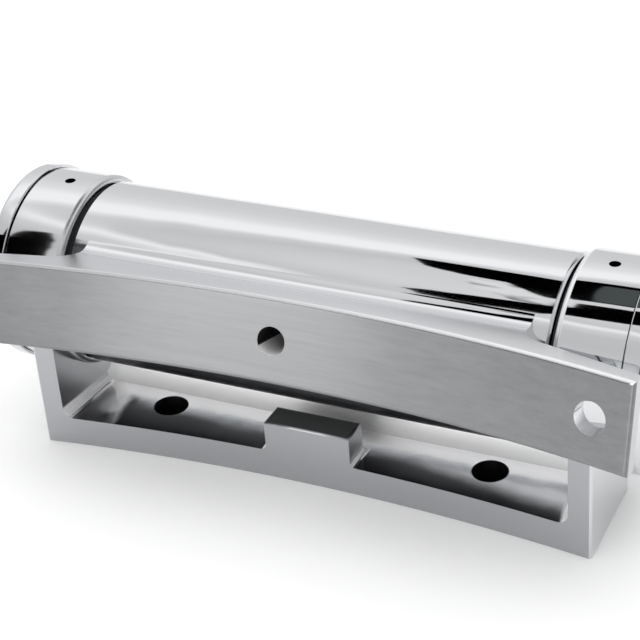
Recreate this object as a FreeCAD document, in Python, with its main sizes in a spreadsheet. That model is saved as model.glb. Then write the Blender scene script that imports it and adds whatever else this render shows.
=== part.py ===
# Spring hinge with a pocketed mounting base and a long coved leaf.
# Millimetres. X runs along the hinge axis, Y to the back and Z up. The
# origin is halfway between the two mounting bolts, on the underside.
import FreeCAD, Part
import math
import os
import Sketcher

# Leaf: a barrel with a long hollow-faced plate cast in front of it
barrel_radius = 28.1
barrel_length = 149.6
barrel_wall = 8.1
partition = 12
plate_height = 25
plate_standoff = 12.3
plate_overhang = 4.9
plate_curve = 327
web_inset = 5.3
web_fillet = 6.5
cove_land = 0.3
ear_start = 10.5
ear_thickness = 10
ear_angle = 23.3
ear_hole_inset = 11.6
ear_hole = 9
centre_hole = 8.4
centre_hole_depth = 14
opening = 16.4

# Base: a pocketed foot with a post and a knuckle at each end
axis_height = 48
axis_offset = 11.5
base_inset = 6.6
base_front = 11.7
base_depth = 31.6
base_curve = 650
floor_height = 9.4
rail_clearance = 1.5
rail_thickness = 7.4
post_width = 7.5
window_draft = 5
pocket_corner = 3.5
block_corner = 2
block_length = 27.6
block_rise = 1.1
block_depth = 9
bolt_inset = 36
bolt_hole = 11
knuckle_step = 1.65
knuckle_gap = 1.4
knuckle_width = 19.4
knuckle_edge = 1.8
grub_hole = 3.3

# Bearings, springs and closing pieces
shaft_radius = 7
plug_length = 53.6
flange_width = 6
flange_depth = 4
running = 0.04
bush_length = 16
bush_wall = 4
centre_bush_wall = 2
washer_inset = 1.7
washer_play = 0.3
strip_gauge = 1.6
strip_gap = 2.2
strip_clearance = 0.7
tang_depth = 2.6
slot_play = 0.1
spring_play = 1
spacer_width = 4
cap_step = 0.85
cap_width = 6.1
cap_groove = 0.4
cap_edge = 2.4
boss_width = 4
screw_radius = 3
screw_length = 16
head_radius = 6.2

Vector = FreeCAD.Vector
doc = FreeCAD.newDocument("spring_hinge")
sheet = doc.addObject("Spreadsheet::Sheet", "Dimensions")


class Size:
    """A number that remembers the sheet expression it comes from."""

    def __init__(self, value, text):
        self.value = value
        self.text = text

    def __add__(self, other):
        other = size(other)
        return Size(self.value + other.value, f"({self.text} + {other.text})")

    def __sub__(self, other):
        other = size(other)
        return Size(self.value - other.value, f"({self.text} - {other.text})")

    def __mul__(self, other):
        other = size(other)
        return Size(self.value * other.value, f"({self.text} * {other.text})")

    def __truediv__(self, other):
        other = size(other)
        return Size(self.value / other.value, f"({self.text} / {other.text})")

    def __neg__(self):
        return Size(-self.value, f"(-1 * {self.text})")

    def __radd__(self, other):
        return size(other) + self

    def __rsub__(self, other):
        return size(other) - self

    def __rmul__(self, other):
        return size(other) * self


def size(number):
    return number if isinstance(number, Size) else Size(float(number), str(number))


def root(area):
    return Size(math.sqrt(area.value), f"sqrt({area.text})")


def tangent(angle):
    return Size(math.tan(math.radians(angle.value)), f"tan({angle.text})")


# Every size above gets a cell of its own, and its name stands for that cell
sizes = {name: value for name, value in globals().items() if isinstance(value, (int, float))}
for row, (name, value) in enumerate(sizes.items(), 1):
    sheet.set(f"A{row}", name)
    sheet.set(f"B{row}", str(value))
    sheet.setAlias(f"B{row}", name)
    globals()[name] = Size(float(value), f"Dimensions.{name}")

# Stations along the axis, measured from the middle
barrel_end = barrel_length / 2
knuckle_in = barrel_end + knuckle_gap
knuckle_out = knuckle_in + knuckle_width
cap_in = knuckle_out + cap_groove
cap_out = cap_in + cap_width
plug_in = knuckle_out - plug_length
strip_in = partition / 2 + spring_play
strip_out = plug_in - spacer_width - spring_play
web_half = barrel_end - web_inset
plate_half = cap_out + plate_overhang
ear_hole_at = plate_half - ear_hole_inset
grub_at = (knuckle_in + knuckle_out) / 2
base_half = knuckle_out - base_inset
bolt_at = base_half - bolt_inset

# Radii about the axis, and heights and depths of the base
barrel_bore = barrel_radius - barrel_wall
knuckle_radius = barrel_radius + knuckle_step
cap_radius = knuckle_radius + cap_step
washer_radius = barrel_radius - washer_inset
plug_radius = barrel_bore - bush_wall
plug_flange = plug_radius + flange_width
cap_boss = plug_flange + boss_width
keyway = barrel_bore + tang_depth
plate_reach = barrel_radius + plate_standoff
rail_height = axis_height - barrel_radius - rail_clearance
block_height = rail_height + block_rise
base_back = base_depth - base_front
rail_front = base_back - rail_thickness

# Spiral of the springs, in half turns
half_turns = 8
strip_start = shaft_radius + strip_gap
strip_room = barrel_bore - strip_clearance - strip_gauge / 2 - strip_start
strip_pitch = strip_room * 4 / (half_turns * 2 - 1)


def bind(thing, name, value):
    """Drive one property from the sheet."""
    value = size(value)
    thing.setExpression(name, value.text)


def new_body(label, on_axis=False, turned=False):
    """Start a body in the base frame, or with its origin on the hinge axis."""
    body = doc.addObject("PartDesign::Body", label)
    if on_axis:
        bind(body, "Placement.Base.y", axis_offset)
        bind(body, "Placement.Base.z", axis_height)
    if turned:
        body.Placement.Rotation = FreeCAD.Rotation(Vector(1, 0, 0), -opening.value)
        bind(body, "Placement.Rotation.Angle", opening)
        body.Placement.Rotation.Axis = Vector(-1, 0, 0)
    return body


def new_sketch(body, name, role, offset=0):
    """Start a sketch on an origin plane, moved along that plane's normal."""
    drawn = body.newObject("Sketcher::SketchObject", name)
    planes = [item for item in body.Origin.OriginFeatures if item.Role == role]
    drawn.AttachmentSupport = [(planes[0], "")]
    drawn.MapMode = "FlatFace"
    bind(drawn, "AttachmentOffset.Base.z", offset)
    return drawn


def hold(drawn, index, end, x, y=None):
    """Fix one point of a sketch by its coordinates."""
    for kind, value in (("DistanceX", x), ("DistanceY", y)):
        if value is not None:
            value = size(value)
            rule = Sketcher.Constraint(kind, -1, 1, index, end, value.value)
            number = drawn.addConstraint(rule)
            drawn.setExpression(f"Constraints[{number}]", value.text)


def hold_radius(drawn, index, radius):
    """Fix the radius of a circle or an arc."""
    number = drawn.addConstraint(Sketcher.Constraint("Radius", index, radius.value))
    drawn.setExpression(f"Constraints[{number}]", radius.text)


def outline(drawn, points, bow=None):
    """Draw a closed outline, whose first side may bow in as a hollow arc.

    The bow is the arc's radius and the Y of its innermost point.
    """
    spots = [Vector(size(x).value, size(y).value, 0) for x, y in points]
    first = drawn.GeometryCount
    for step, spot in enumerate(spots):
        after = spots[(step + 1) % len(spots)]
        if step == 0 and bow is not None:
            drawn.addGeometry(hollow_arc(spot, after, bow), False)
        else:
            drawn.addGeometry(Part.LineSegment(spot, after), False)
    sides = drawn.Geometry
    if bow is not None:
        hold(drawn, first, 3, 0, bow[1] - bow[0])
        hold_radius(drawn, first, bow[0])
    for step, spot in enumerate(spots):
        here = first + step
        before = first + (step - 1) % len(spots)
        start, end = (side_end(sides[edge], spot) for edge in (here, before))
        drawn.addConstraint(Sketcher.Constraint("Coincident", here, start, before, end))
        x, y = points[step]
        on_bow = bow is not None and step < 2
        hold(drawn, here, start, x, None if on_bow else y)


def hollow_arc(left, right, bow):
    """Make the arc over two points whose centre lies ahead of them."""
    middle = Vector(0, bow[1].value - bow[0].value, 0)
    first, last = (math.atan2(end.y - middle.y, end.x) for end in (right, left))
    ring = Part.Circle(middle, Vector(0, 0, 1), bow[0].value)
    return Part.ArcOfCircle(ring, first, last)


def side_end(side, spot):
    """Say which end of a side, 1 or 2, lies on a spot."""
    near_start = side.StartPoint.distanceToPoint(spot)
    near_end = side.EndPoint.distanceToPoint(spot)
    return 1 if near_start < near_end else 2


def circle(drawn, x, y, radius):
    """Draw a circle with a held centre and radius."""
    x, y, radius = size(x), size(y), size(radius)
    ring = Part.Circle(Vector(x.value, y.value, 0), Vector(0, 0, 1), radius.value)
    index = drawn.addGeometry(ring, False)
    hold(drawn, index, 3, x, y)
    hold_radius(drawn, index, radius)


def feature(body, kind, name, profile, length=None, reverse=False):
    """Add a pad, pocket, revolution or groove and keep the result checked."""
    made = body.newObject(f"PartDesign::{kind}", name)
    made.Profile = profile
    if length is not None:
        bind(made, "Length", length)
        made.Reversed = reverse
    else:
        made.ReferenceAxis = (profile, ["H_Axis"])
        made.Angle = 360
    profile.Visibility = False
    return finish(body, made)


def finish(body, made):
    """Make a feature the body's tip and see that it holds one sound solid."""
    body.Tip = made
    doc.recompute()
    if "Invalid" in made.State or not made.Shape.isValid() or not made.Shape.Solids:
        raise ValueError(f"{body.Label}: {made.Label} fails")
    return made


def pad(body, name, profile, length, reverse=False):
    return feature(body, "Pad", name, profile, length, reverse)


def pocket(body, name, profile, length, reverse=False):
    """Cut a pocket, away from the sketch's normal unless reversed."""
    before = body.Shape.Volume
    made = feature(body, "Pocket", name, profile, length, reverse)
    if not body.Shape.Volume < before:
        raise ValueError(f"{name} removes nothing")
    return made


def edges_at(body, spots):
    """Name the edges of the body that pass through the given spots."""
    names = []
    own = body.Tip.Shape
    for spot in spots:
        point = Part.Vertex(*[size(value).value for value in spot])
        gaps = [edge.distToShape(point)[0] for edge in own.Edges]
        names.append(f"Edge{gaps.index(min(gaps)) + 1}")
    return sorted(set(names))


def dress(body, kind, name, value, spots):
    """Round or chamfer the edges through the given spots."""
    base, edges = body.Tip, edges_at(body, spots)
    made = body.newObject(f"PartDesign::{kind}", name)
    made.Base = (base, edges)
    bind(made, "Radius" if kind == "Fillet" else "Size", value)
    return finish(body, made)


def turned_ring(body, name, points):
    """Turn a closed profile, given as stations and radii, about the axis."""
    profile = new_sketch(body, f"{name}_profile", "XY_Plane")
    outline(profile, points)
    return feature(body, "Revolution", name, profile)


def tube(label, start, end, outer, inner, turned=False):
    """Turn a plain tube on the hinge axis."""
    body = new_body(label, on_axis=True, turned=turned)
    points = [(start, inner), (end, inner), (end, outer), (start, outer)]
    turned_ring(body, "wall", points)
    return body


def left_hand(label, source):
    """Mirror a right-hand piece to the left end."""
    copy = doc.addObject("Part::Mirroring", label)
    copy.Source = source
    copy.Base = Vector(0, 0, 0)
    copy.Normal = Vector(1, 0, 0)
    return copy


def sagitta(radius, half):
    """Depth of an arc of the given radius at half its chord."""
    return radius - root(radius * radius - half * half)


def rounded_corner(x, y, size_along, size_out):
    """Step round a quarter turn that ends at a corner's two tangent points."""
    turns = [math.radians(30 * step) for step in range(4)]
    return [(x - size_along * math.cos(turn), y - size_out * (1 - math.sin(turn)))
            for turn in turns]


def window_half(y):
    """Half length of the drafted window between the posts at a depth y."""
    return base_half - post_width - (y + base_front) * tangent(window_draft)


def make_base_casting():
    body = new_body("base_casting")
    half = base_half
    ends = -base_front - sagitta(base_curve, half)
    foot = new_sketch(body, "footprint", "XY_Plane")
    corners = [(-half, ends), (half, ends), (half, base_back), (-half, base_back)]
    outline(foot, corners, bow=(base_curve, -base_front))
    pad(body, "foot_and_posts", foot, axis_height)
    for name, radius, y in (("front_corners", 1, ends), ("back_corners", 3, base_back)):
        dress(body, "Fillet", name, radius, [(-half, y, 1), (half, y, 1)])
    cut_window(body)
    soften_pocket(body)
    add_knuckles(body)
    drill_base(body)
    return body


def cut_window(body):
    """Hollow the foot around the middle block and behind the rim."""
    ahead = -base_front - 20
    behind = base_back + 5
    block = block_length / 2
    block_back = block_depth - base_front
    levels = [("above_rail", rail_height, axis_height, behind),
              ("floor_pocket", floor_height, rail_height - floor_height, rail_front)]
    for name, start, depth, back in levels:
        drawn = new_sketch(body, f"{name}_plan", "XY_Plane", start)
        near, far = window_half(ahead), window_half(back)
        outline(drawn, [(-near, ahead), (-block, ahead), (-block, block_back),
                        (block, block_back), (block, ahead), (near, ahead),
                        (far, back), (-far, back)])
        pocket(body, name, drawn, depth, reverse=True)
    drawn = new_sketch(body, "above_block_plan", "XY_Plane", block_height)
    outline(drawn, [(-block, ahead), (block, ahead), (block, block_back), (-block, block_back)])
    pocket(body, "above_block", drawn, axis_height, reverse=True)


def add_knuckles(body):
    """Add a knuckle on each post and bore both for the journal plugs."""
    for side in (-1, 1):
        drawn = new_sketch(body, "knuckle_profile", "XY_Plane", axis_height)
        bind(drawn, "AttachmentOffset.Base.y", axis_offset)
        edge = rounded_corner(side * (knuckle_in + knuckle_edge), knuckle_radius,
                              side * knuckle_edge, knuckle_edge)
        outline(drawn, [(side * knuckle_out, 0), (side * knuckle_in, 0), *edge,
                        (side * knuckle_out, knuckle_radius)])
        feature(body, "Revolution", "knuckle", drawn)
    through = new_sketch(body, "plug_bore_circle", "YZ_Plane", knuckle_out)
    circle(through, axis_offset, axis_height, plug_radius)
    pocket(body, "plug_bore", through, knuckle_out * 2)
    for side, start in (("left", -knuckle_out), ("right", knuckle_out)):
        seat = new_sketch(body, f"{side}_flange_circle", "YZ_Plane", start)
        circle(seat, axis_offset, axis_height, plug_flange)
        pocket(body, f"{side}_flange_seat", seat, flange_depth, reverse=side == "left")


def drill_base(body):
    """Drill the two bolt holes and the two grub screw holes."""
    bolts = new_sketch(body, "bolt_circles", "XY_Plane", floor_height)
    for x in (-bolt_at, bolt_at):
        circle(bolts, x, 0, bolt_hole / 2)
    pocket(body, "bolt_holes", bolts, floor_height)
    crown = axis_height + knuckle_radius
    grubs = new_sketch(body, "grub_circles", "XY_Plane", crown)
    for x in (-grub_at, grub_at):
        circle(grubs, x, axis_offset, grub_hole / 2)
    pocket(body, "grub_holes", grubs, knuckle_radius)


def soften_pocket(body):
    """Round the cast corners at the foot of the rail, the end walls and the block."""
    block_back = block_depth - base_front
    foot = [(bolt_at, rail_front, floor_height)]
    dress(body, "Fillet", "rail_foot", (rail_height - floor_height) * 2 / 3, foot)
    spots = [(side * window_half(size(0)), 0, floor_height) for side in (-1, 1)]
    dress(body, "Fillet", "pocket_ends", pocket_corner, spots)
    spots = [(side * block_length / 2, block_back - 2, floor_height) for side in (-1, 1)]
    spots.append((0, block_back, floor_height))
    dress(body, "Fillet", "block_foot", block_corner, spots)


def make_leaf():
    """Model the leaf closed, then place it opened by its own angle."""
    body = new_body("lid_leaf", on_axis=True, turned=True)
    shell = new_sketch(body, "barrel_circle", "YZ_Plane", -barrel_end)
    circle(shell, 0, 0, barrel_radius)
    pad(body, "barrel", shell, barrel_length)
    add_plate(body)
    bore_barrel(body)
    drill_plate(body)
    return body


def ear_back(x):
    """Distance of the ears' slanted back from the axis."""
    start = web_half + ear_start
    shoulder = plate_reach + sagitta(plate_curve, start) - ear_thickness
    return shoulder + (x - start) * tangent(ear_angle)


def add_plate(body):
    """Cast the hollow-faced plate with its web and its two coved ears."""
    half = plate_half
    web = web_half
    tip = plate_reach + sagitta(plate_curve, half)
    plan = new_sketch(body, "plate_plan", "XY_Plane", -plate_height / 2)
    outline(plan, [(-half, -tip), (half, -tip), (half, -ear_back(half)),
                   (web, -ear_back(web)), (web, 0), (-web, 0),
                   (-web, -ear_back(web)), (-half, -ear_back(half))],
            bow=(plate_curve, -plate_reach))
    pad(body, "plate", plan, plate_height)
    coves = [(side * web, -ear_back(web), 0) for side in (-1, 1)]
    web_foot = root((barrel_radius + web_fillet) * (barrel_radius + web_fillet)
                    - (plate_height / 2 + web_fillet) * (plate_height / 2 + web_fillet))
    cove_room = ear_back(web_half) - web_foot - cove_land
    cove_radius = cove_room / tangent(45 - ear_angle / 2)
    dress(body, "Fillet", "coves", cove_radius, coves)
    foot = root(barrel_radius * barrel_radius - plate_height * plate_height / 4)
    seams = [(0, -foot, side * plate_height / 2) for side in (-1, 1)]
    dress(body, "Fillet", "web_fillets", web_fillet, seams)
    rim = [(0, -plate_reach, side * plate_height / 2) for side in (-1, 1)]
    rim += [(side * half, -tip, 0) for side in (-1, 1)]
    dress(body, "Fillet", "front_edges", 1.2, rim)
    ends = [(side * barrel_end, 0, barrel_radius) for side in (-1, 1)]
    dress(body, "Chamfer", "barrel_edges", 0.8, ends)


def bore_barrel(body):
    """Bore both ends, leave a partition and broach the springs' keyways."""
    depth = barrel_end - partition / 2
    for side, start in (("left", -barrel_end), ("right", barrel_end)):
        drawn = new_sketch(body, f"{side}_bore_circle", "YZ_Plane", start)
        circle(drawn, 0, 0, barrel_bore)
        pocket(body, f"{side}_bore", drawn, depth, reverse=side == "left")
        slot = new_sketch(body, f"{side}_keyway_outline", "YZ_Plane", start)
        top = strip_gauge + slot_play
        outline(slot, [(barrel_bore - 1, -slot_play), (keyway + slot_play, -slot_play),
                       (keyway + slot_play, top), (barrel_bore - 1, top)])
        pocket(body, f"{side}_keyway", slot, depth, reverse=side == "left")
    web = new_sketch(body, "partition_circle", "YZ_Plane", partition / 2)
    circle(web, 0, 0, (shaft_radius + centre_bush_wall))
    pocket(body, "partition_hole", web, partition)


def drill_plate(body):
    """Drill the clearance hole in each ear and the blind middle hole."""
    ahead = plate_reach + sagitta(plate_curve, plate_half)
    ears = new_sketch(body, "ear_circles", "XZ_Plane", ahead)
    for x in (-ear_hole_at, ear_hole_at):
        circle(ears, x, 0, ear_hole / 2)
    pocket(body, "ear_holes", ears, ahead - knuckle_radius - ear_hole / 2)
    middle = new_sketch(body, "centre_circle", "XZ_Plane", ahead)
    circle(middle, 0, 0, centre_hole / 2)
    pocket(body, "centre_hole", middle, ahead - plate_reach + centre_hole_depth)


def make_journal_plug():
    """Turn a plug that is fixed in a knuckle and carries the barrel bush."""
    body = new_body("journal_plug_right", on_axis=True)
    step = knuckle_out - flange_depth
    turned_ring(body, "plug", [(plug_in, shaft_radius), (knuckle_out, shaft_radius),
                               (knuckle_out, plug_flange), (step, plug_flange),
                               (step, plug_radius), (plug_in, plug_radius)])
    dimple = new_sketch(body, "dimple_circle", "XY_Plane", plug_radius)
    circle(dimple, grub_at, 0, grub_hole / 2)
    pocket(body, "grub_dimple", dimple, 1.5)
    spanner = new_sketch(body, "spanner_circles", "YZ_Plane", knuckle_out)
    for y in (-plug_radius, plug_radius):
        circle(spanner, 0, y, 2)
    pocket(body, "spanner_holes", spanner, 3)
    dress(body, "Chamfer", "lead_in", 0.6, [(plug_in, 0, -plug_radius)])
    return body


def make_shaft():
    """Turn the through shaft, tap its ends and mill the springs' slots."""
    body = new_body("hinge_shaft", on_axis=True, turned=True)
    depth = screw_length - cap_width - cap_groove + 2
    end, stop = knuckle_out, knuckle_out - depth
    turned_ring(body, "shaft", [(-stop, 0), (stop, 0), (stop, screw_radius),
                                (end, screw_radius), (end, shaft_radius),
                                (-end, shaft_radius), (-end, screw_radius),
                                (-stop, screw_radius)])
    slots = new_sketch(body, "slot_outlines", "XY_Plane", slot_play)
    floor = shaft_radius - tang_depth - slot_play
    for near, far in ((-strip_out, -strip_in), (strip_in, strip_out)):
        outline(slots, [(near - slot_play, floor), (far + slot_play, floor),
                        (far + slot_play, shaft_radius + 1), (near - slot_play, shaft_radius + 1)])
    pocket(body, "spring_slots", slots, strip_gauge + slot_play * 2)
    return body


def make_cap():
    """Turn an end cap with a boss on the plug and a countersunk hole."""
    body = new_body("end_cap_right", on_axis=True)
    hole = screw_radius + 0.2
    wide = head_radius + 0.1
    edge = rounded_corner(cap_out - cap_edge, cap_radius, -cap_edge, cap_edge)
    turned_ring(body, "cap", [(knuckle_out, hole), (knuckle_out, cap_boss), (cap_in, cap_boss),
                              (cap_in, cap_radius), *reversed(edge), (cap_out, wide),
                              (cap_out - wide + hole, hole)])
    return body


def make_cap_screw():
    """Turn a countersunk screw and cut its hexagon socket."""
    body = new_body("cap_screw_right", on_axis=True)
    face = cap_out - 0.1
    neck = face - head_radius + screw_radius
    turned_ring(body, "screw", [(cap_out - screw_length, 0), (face, 0), (face, head_radius),
                                (neck, screw_radius), (cap_out - screw_length, screw_radius)])
    socket = new_sketch(body, "socket_hexagon", "YZ_Plane", face)
    hexagon(socket, screw_radius * 0.77)
    pocket(body, "socket", socket, 2.5)
    return body


def hexagon(drawn, radius):
    """Draw a hexagon about the sketch origin, given its corner radius."""
    turns = [math.radians(60 * step) for step in range(6)]
    outline(drawn, [(radius * round(math.cos(turn), 6), radius * round(math.sin(turn), 6))
                    for turn in turns])


def make_grub_screw():
    """Make the set screw that locks a plug, tip down in its dimple."""
    body = new_body("grub_screw_right", on_axis=True)
    bind(body, "Placement.Base.x", grub_at)
    drawn = new_sketch(body, "screw_circle", "XY_Plane", plug_radius - 1.4)
    circle(drawn, 0, 0, grub_hole / 2)
    pad(body, "screw", drawn, 8)
    socket = new_sketch(body, "socket_hexagon", "XY_Plane", plug_radius - 1.4 + 8)
    hexagon(socket, grub_hole * 0.3)
    pocket(body, "socket", socket, 2)
    return body


def make_spring():
    """Coil a flat strip from a slot in the shaft to a keyway in the barrel.

    Each half turn is an arc; the centres alternate by half the pitch.
    """
    body = new_body("spiral_spring_right", on_axis=True, turned=True)
    strip = new_sketch(body, "strip_outline", "YZ_Plane", strip_in)
    half = strip_gauge / 2
    for step in range(half_turns):
        side = 1 if step % 2 else -1
        for wall in (-half, half):
            radius = strip_start + strip_pitch / 2 * step + wall
            half_circle(strip, side * strip_pitch / 4, radius, upper=side < 0)
    first = strip_start - strip_pitch / 4
    last = strip_start + strip_pitch / 2 * (half_turns - 1) + strip_pitch / 4
    slot = shaft_radius - tang_depth
    tang(strip, [(first + half, 0), (first + half, -strip_gauge), (slot, -strip_gauge),
                 (slot, 0), (first - half, 0)])
    tang(strip, [(last - half, 0), (last - half, strip_gauge), (keyway, strip_gauge),
                 (keyway, 0), (last + half, 0)])
    pad(body, "strip", strip, strip_out - strip_in)
    return body


def half_circle(drawn, y, radius, upper):
    """Draw half a circle that stands on the sketch's first axis."""
    first = 0 if upper else math.pi
    ring = Part.Circle(Vector(y.value, 0, 0), Vector(0, 0, 1), radius.value)
    index = drawn.addGeometry(Part.ArcOfCircle(ring, first, first + math.pi), False)
    hold(drawn, index, 3, y, 0)
    hold_radius(drawn, index, radius)
    for end in (1, 2):
        hold(drawn, index, end, None, 0)


def tang(drawn, points):
    """Draw the bent end of the strip as an open run of lines."""
    for start, end in zip(points, points[1:]):
        spots = [Vector(size(x).value, size(y).value, 0) for x, y in (start, end)]
        index = drawn.addGeometry(Part.LineSegment(*spots), False)
        hold(drawn, index, 1, *start)
        hold(drawn, index, 2, *end)


make_base_casting()
make_leaf()
plug = make_journal_plug()
cap = make_cap()
cap_screw = make_cap_screw()
grub_screw = make_grub_screw()
make_shaft()
spring = make_spring()
spacer = tube("spring_spacer_right", plug_in - spacer_width, plug_in,
              barrel_bore - 0.4, shaft_radius)
bush = tube("barrel_bush_right", barrel_end - bush_length, barrel_end,
            barrel_bore, plug_radius + running, turned=True)
washer = tube("thrust_washer_right", barrel_end + washer_play, knuckle_in,
              washer_radius, plug_radius)
tube("centre_bush", -partition / 2, partition / 2,
     (shaft_radius + centre_bush_wall), shaft_radius + running, turned=True)
for item in (plug, cap, cap_screw, grub_screw, spring, spacer, bush, washer):
    left_hand(item.Label.replace("_right", "_left"), item)
doc.recompute()

# Check every object and write one file per piece
for item in doc.Objects:
    if "Invalid" in item.State or "Error" in item.State:
        raise ValueError(f"{item.Label} is {item.State}")
os.makedirs("parts", exist_ok=True)
for item in doc.Objects:
    if item.TypeId in ("PartDesign::Body", "Part::Mirroring"):
        if item.Shape.isNull() or not item.Shape.isValid():
            raise ValueError(f"{item.Label} has no valid shape")
        item.Shape.exportStep(f"parts/{item.Label}.step")
        print(item.Label, len(item.Shape.Solids), round(item.Shape.Volume))
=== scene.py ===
# %% [markdown]
# # A chromed spring hinge
#
# This notebook dresses a spring hinge that was built in CAD. A long leaf
# with a hollow front turns on a barrel between two knuckles, which stand on
# a pocketed foot. Nearly everything that shows is mirror chrome, and a
# mirror has no colour of its own. So the work is in three places: smooth
# surfaces that carry clean reflections, a studio worth reflecting, and the
# few faces that a belt, a cutter or a mould has left dull.

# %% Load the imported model
import math
import bmesh
import bpy
from mathutils import Matrix, Vector


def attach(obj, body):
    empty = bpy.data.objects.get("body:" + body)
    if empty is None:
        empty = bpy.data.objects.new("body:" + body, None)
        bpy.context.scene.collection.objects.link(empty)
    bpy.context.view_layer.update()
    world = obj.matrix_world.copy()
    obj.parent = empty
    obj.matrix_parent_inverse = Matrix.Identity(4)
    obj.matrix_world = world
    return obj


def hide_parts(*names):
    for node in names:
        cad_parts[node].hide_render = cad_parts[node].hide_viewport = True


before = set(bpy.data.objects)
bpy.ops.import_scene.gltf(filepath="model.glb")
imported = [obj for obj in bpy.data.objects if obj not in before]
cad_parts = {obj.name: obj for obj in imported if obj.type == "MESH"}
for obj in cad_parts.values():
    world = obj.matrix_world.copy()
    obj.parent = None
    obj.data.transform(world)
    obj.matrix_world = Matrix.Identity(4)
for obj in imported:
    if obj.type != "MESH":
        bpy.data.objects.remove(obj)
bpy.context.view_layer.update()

MM = 0.001
AXIS_MM = Vector((0, 11.5, 48))
AXIS = AXIS_MM * MM


# %% Add an object to the scene
def add_object(name, data):
    """Put a mesh, a camera or a light into the scene."""
    made = bpy.data.objects.new(name, data)
    bpy.context.scene.collection.objects.link(made)
    return made


# %% [markdown]
# ## The camera
#
# The picture looks down on the hinge from the right, from about half a
# metre away, with the camera leaning a little. It could be placed by eye,
# but a long lens hides small errors that the straight edges then show. So
# the place, the lean and the lens were fitted to the edges of the foot, the
# leaf and the barrel, and are written as the angles and lengths of that fit.

# %% Place the camera
aim = Vector((0, 3.32, 48.75)) * MM
azimuth, elevation, lean = (math.radians(a) for a in (27.25, 30.75, -4.70))
distance = 522.74 * MM
picture_width, focal_pixels = 640, 1791.17
sensor_width = 36

backward = Vector((math.sin(azimuth) * math.cos(elevation),
                   -math.cos(azimuth) * math.cos(elevation),
                   math.sin(elevation)))
level = Vector((math.cos(azimuth), math.sin(azimuth), 0))
upright = backward.cross(level)
right = level * math.cos(lean) + upright * math.sin(lean)
up = upright * math.cos(lean) - level * math.sin(lean)

camera_data = bpy.data.cameras.new("studio_camera")
camera_data.sensor_width = sensor_width
camera_data.lens = sensor_width * (focal_pixels / picture_width)
camera_data.clip_start = 0.01
camera = add_object("studio_camera", camera_data)
camera_turn = Matrix((right, up, backward)).transposed().to_4x4()
camera.matrix_world = Matrix.Translation(aim + backward * distance) @ camera_turn
bpy.context.scene.camera = camera
print("lens:", round(camera_data.lens, 1), "mm")

# %% [markdown]
# ## A short way to write shaders
#
# A finish is a small sum: a noise, stretched one way, scaled and added to a
# roughness. Wired by hand in the editor that is a page of nodes. Here one
# class wraps a socket and lets Python's own signs add the Math nodes, so
# that a finish reads as the sum it is.


# %% A socket that can be added and multiplied
class Wire:
    """A node's output that can be used in arithmetic."""

    def __init__(self, nodes, socket):
        self.nodes = nodes
        self.socket = socket

    def maths(self, operation, first, second):
        return self.nodes.node("ShaderNodeMath", {"operation": operation},
                               {0: first, 1: second})

    def __add__(self, other):
        return self.maths("ADD", self, other)

    def __sub__(self, other):
        return self.maths("SUBTRACT", self, other)

    def __rsub__(self, other):
        return self.maths("SUBTRACT", other, self)

    def __mul__(self, other):
        return self.maths("MULTIPLY", self, other)

    __radd__ = __add__
    __rmul__ = __mul__


# %% [markdown]
# Every other node comes from one method, which takes the node's type, its
# settings and its inputs. The short methods under it name the few nodes
# that come back often: a mix of two colours, a ramp, one coordinate of a
# vector, vector maths, and a soft step from 0 to 1.


# %% A tree of nodes
def set_stops(marks, stops):
    """Put a ramp's marks at (position, grey) stops."""
    while len(marks) < len(stops):
        marks.new(0.5)
    for mark, (spot, value) in zip(marks, stops):
        mark.position = spot
        mark.color = (value, value, value, 1)


class Nodes:
    """A node tree that is filled by calls."""

    def node(self, kind, settings, inputs, output=0):
        """Add a node: settings first, then the values or links of its sockets."""
        made = self.tree.nodes.new(kind)
        for label, value in settings.items():
            if label == "stops":
                set_stops(made.color_ramp.elements, value)
            else:
                setattr(made, label, value)
        for label, value in inputs.items():
            if isinstance(value, Wire):
                self.tree.links.new(value.socket, made.inputs[label])
            else:
                made.inputs[label].default_value = value
        return Wire(self, made.outputs[output])

    def blend(self, factor, first, second):
        values = {"Factor": factor, 6: first, 7: second}
        return self.node("ShaderNodeMix", {"data_type": "RGBA"}, values, 2)

    def ramp(self, value, stops):
        return self.node("ShaderNodeValToRGB", {"stops": stops}, {0: value})

    def part(self, vector, axis):
        return self.node("ShaderNodeSeparateXYZ", {}, {0: vector}, axis)

    def vector(self, operation, *values, output="Vector"):
        return self.node("ShaderNodeVectorMath", {"operation": operation},
                         dict(enumerate(values)), output)

    def fade(self, value, start, end):
        """Rise smoothly from 0 at start to 1 at end."""
        return self.node("ShaderNodeMapRange", {"interpolation_type": "SMOOTHSTEP"},
                         {"Value": value, "From Min": start, "From Max": end})


# %% [markdown]
# A finish is such a tree with a Principled shader at its end. Values that
# are the same all over are set on the shader's own sockets. Patterns read
# Object coordinates, which are the hinge's own metres, so a grain keeps its
# real size and stays on its piece when the leaf swings.


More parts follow.
